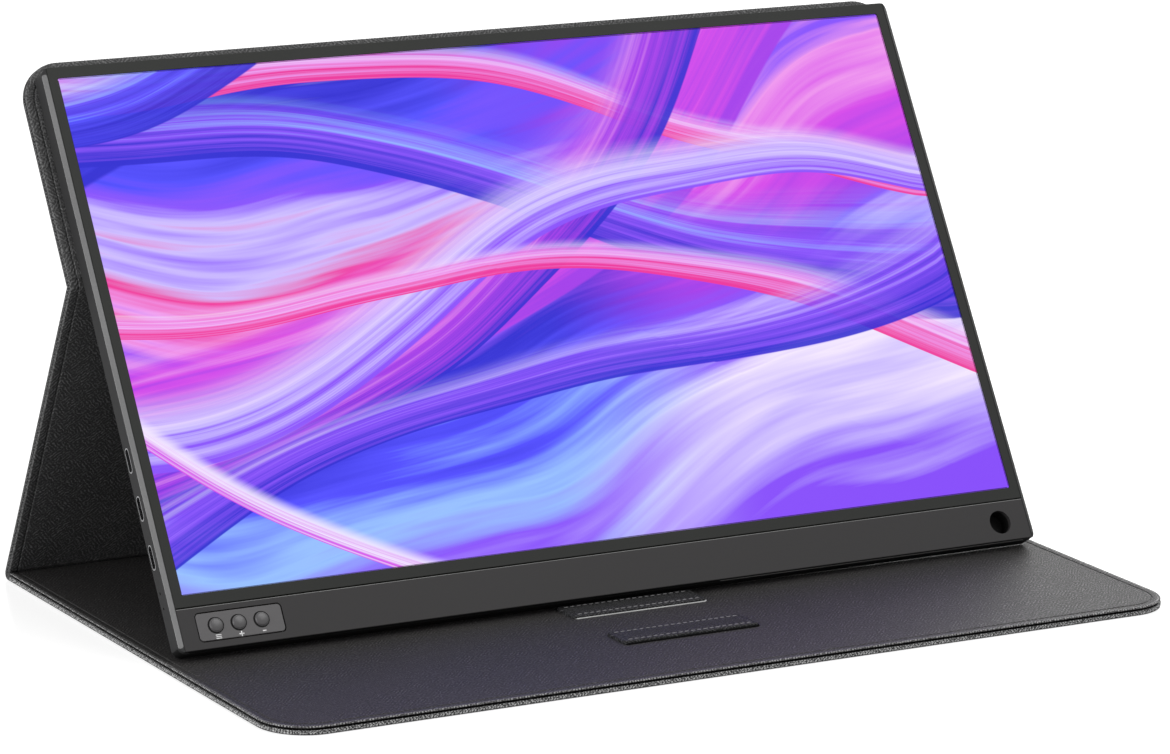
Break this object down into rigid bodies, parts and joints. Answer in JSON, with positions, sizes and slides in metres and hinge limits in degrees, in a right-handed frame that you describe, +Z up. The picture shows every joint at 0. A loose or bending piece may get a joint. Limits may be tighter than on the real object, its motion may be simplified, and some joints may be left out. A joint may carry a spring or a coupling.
{
  "type": "portable monitor",
  "caption": "Thin flat portable screen held up by a fold-out leather folio stand, with side sockets, front push buttons and a round corner hole.",
  "frame": {"origin": "on the floor under the middle of the box round the whole stand", "axes": "+X across to the right as seen by the user, +Y away from the user, +Z up"},
  "size_m": [0.3644, 0.225, 0.1924],
  "materials": {
    "housing_metal": "dark anodised, satin, with bright cut side edges",
    "bezel_plastic": "satin charcoal",
    "chin_plastic": "satin charcoal",
    "sleeve_plastic": "matt black",
    "key_plastic": "satin grey",
    "screen_film": "lit picture behind a smooth film",
    "display_glass": "dark glass",
    "white_film": "matt white",
    "clear_plastic": "clear acrylic",
    "light_strip": "white with yellow lamps",
    "tray_steel": "plain",
    "circuit_board": "green solder mask",
    "chip_black": "matt black",
    "connector_plastic": "cream",
    "flat_cable": "amber film",
    "socket_metal": "bright",
    "screw_steel": "plain",
    "speaker_plastic": "matt black",
    "foam": "soft foam",
    "magnet": "nickel plated",
    "folio_leather": "imitation leather with a fine cross grain",
    "folio_lining": "soft imitation leather with a fine slanting grain",
    "stiff_board": "grey board"
  },
  "bodies": {
    "base": {"base_skin": "folio_leather", "base_board": "stiff_board", "base_lining": "folio_lining", "base_magnets": "magnet", "rear_stop_ridge": "folio_leather", "front_stop_ridge": "folio_leather"},
    "strut": {"strut_skin": "folio_leather", "strut_board": "stiff_board", "strut_lining": "folio_lining", "rear_fold_bead": "folio_leather", "crease_bead": "folio_leather"},
    "monitor": {"rear_shell": "housing_metal", "front_bezel": "bezel_plastic", "chin_cover": "chin_plastic", "corner_hole_cup": "sleeve_plastic", "front_polarizer": "screen_film", "display_panel": "display_glass", "diffuser_sheets": "white_film", "light_guide": "clear_plastic", "reflector_sheet": "white_film", "backlight_strip": "light_strip", "panel_tray": "tray_steel", "main_board": "circuit_board", "board_screws": "screw_steel", "board_chips": "chip_black", "display_connector": "connector_plastic", "display_cable": "flat_cable", "indicator_light_pipes": "clear_plastic", "speaker_left": "speaker_plastic", "speaker_right": "speaker_plastic", "support_pads": "foam", "attachment_plates": "tray_steel", "button_plate": "chin_plastic", "button_switches": "chip_black", "button_board": "circuit_board", "button_cable": "flat_cable", "usb_c_port_upper": "socket_metal", "usb_c_port_middle": "socket_metal", "usb_c_port_lower": "socket_metal", "socket_contacts": "chip_black", "upper_panel_skin": "folio_leather", "upper_panel_board": "stiff_board", "upper_panel_lining": "folio_lining", "upper_panel_magnets": "magnet", "bonding_pads": "foam"},
    "button_menu": {"button_menu": "key_plastic"},
    "button_plus": {"button_plus": "key_plastic"},
    "button_minus": {"button_minus": "key_plastic"}
  },
  "joints": [
    {"name": "stand_fold", "type": "hinge", "parent": "base", "child": "strut", "pos_m": [0, 0.111, 0.0015], "axis": [-1, 0, 0], "range_deg": [0, 115.28]},
    {"name": "crease_fold", "type": "hinge", "parent": "strut", "child": "monitor", "pos_m": [0, 0.05506, 0.11996], "axis": [1, 0, 0], "range_deg": [0, 57.08]},
    {"name": "button_menu_press", "type": "slide", "parent": "monitor", "child": "button_menu", "axis": [0, 0.8499, -0.527], "range_m": [0, 0.0006], "stiffness_N_per_m": 1200, "springref_m": -0.0002},
    {"name": "button_plus_press", "type": "slide", "parent": "monitor", "child": "button_plus", "axis": [0, 0.8499, -0.527], "range_m": [0, 0.0006], "stiffness_N_per_m": 1200, "springref_m": -0.0002},
    {"name": "button_minus_press", "type": "slide", "parent": "monitor", "child": "button_minus", "axis": [0, 0.8499, -0.527], "range_m": [0, 0.0006], "stiffness_N_per_m": 1200, "springref_m": -0.0002}
  ],
  "couplings": [
    {"joint": "crease_fold", "follows": "stand_fold", "ratio": 0.49513}
  ]
}
